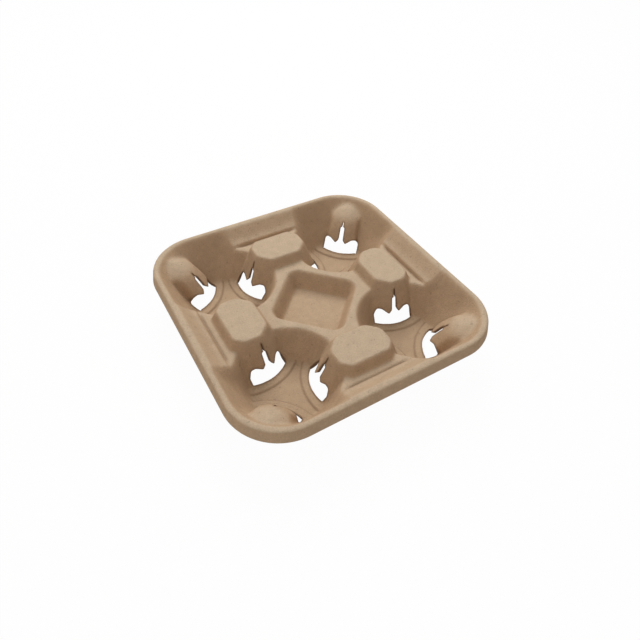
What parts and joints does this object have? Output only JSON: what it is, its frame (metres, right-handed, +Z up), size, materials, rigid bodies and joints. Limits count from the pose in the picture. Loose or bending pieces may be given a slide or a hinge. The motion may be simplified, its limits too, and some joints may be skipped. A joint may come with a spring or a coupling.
{
  "type": "cup carrier",
  "caption": "Moulded pulp tray with round cup pockets around a square middle recess, ribs with fork-shaped cut-outs and a turned-down rim.",
  "frame": {"origin": "centre of the tray on the plane of the pocket undersides, which it stands on", "axes": "+Z up; X and Y along the sides of the square rim"},
  "size_m": [0.216, 0.216, 0.0414],
  "materials": {
    "pulp": "matte uncoated brown paper pulp with fine fibre grain"
  },
  "bodies": {
    "root": {"cup_carrier": "pulp"}
  },
  "joints": []
}
